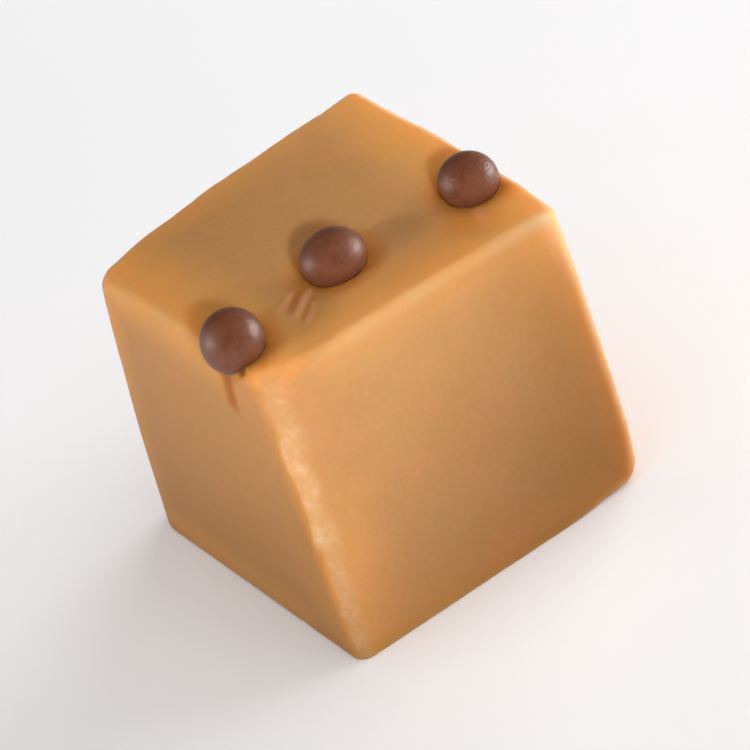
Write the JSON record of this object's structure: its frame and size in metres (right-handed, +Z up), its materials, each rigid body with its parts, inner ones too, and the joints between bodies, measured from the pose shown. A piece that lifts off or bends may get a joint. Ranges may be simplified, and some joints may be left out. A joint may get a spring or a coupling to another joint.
{
  "type": "fudge cube",
  "caption": "Hand-cut cube of caramel fudge with softened edges and a row of small round chocolate pearls pressed into its top.",
  "frame": {"origin": "middle of the flat foot that the cube stands on", "axes": "+Z up, -Y towards the front face, +X to the right along the row of pearls"},
  "size_m": [0.0287, 0.029, 0.0292],
  "materials": {
    "caramel_fudge": "satin",
    "chocolate_pearl": "satin"
  },
  "bodies": {
    "root": {"fudge": "caramel_fudge", "pearl_left": "chocolate_pearl", "pearl_middle": "chocolate_pearl", "pearl_right": "chocolate_pearl"}
  },
  "joints": []
}
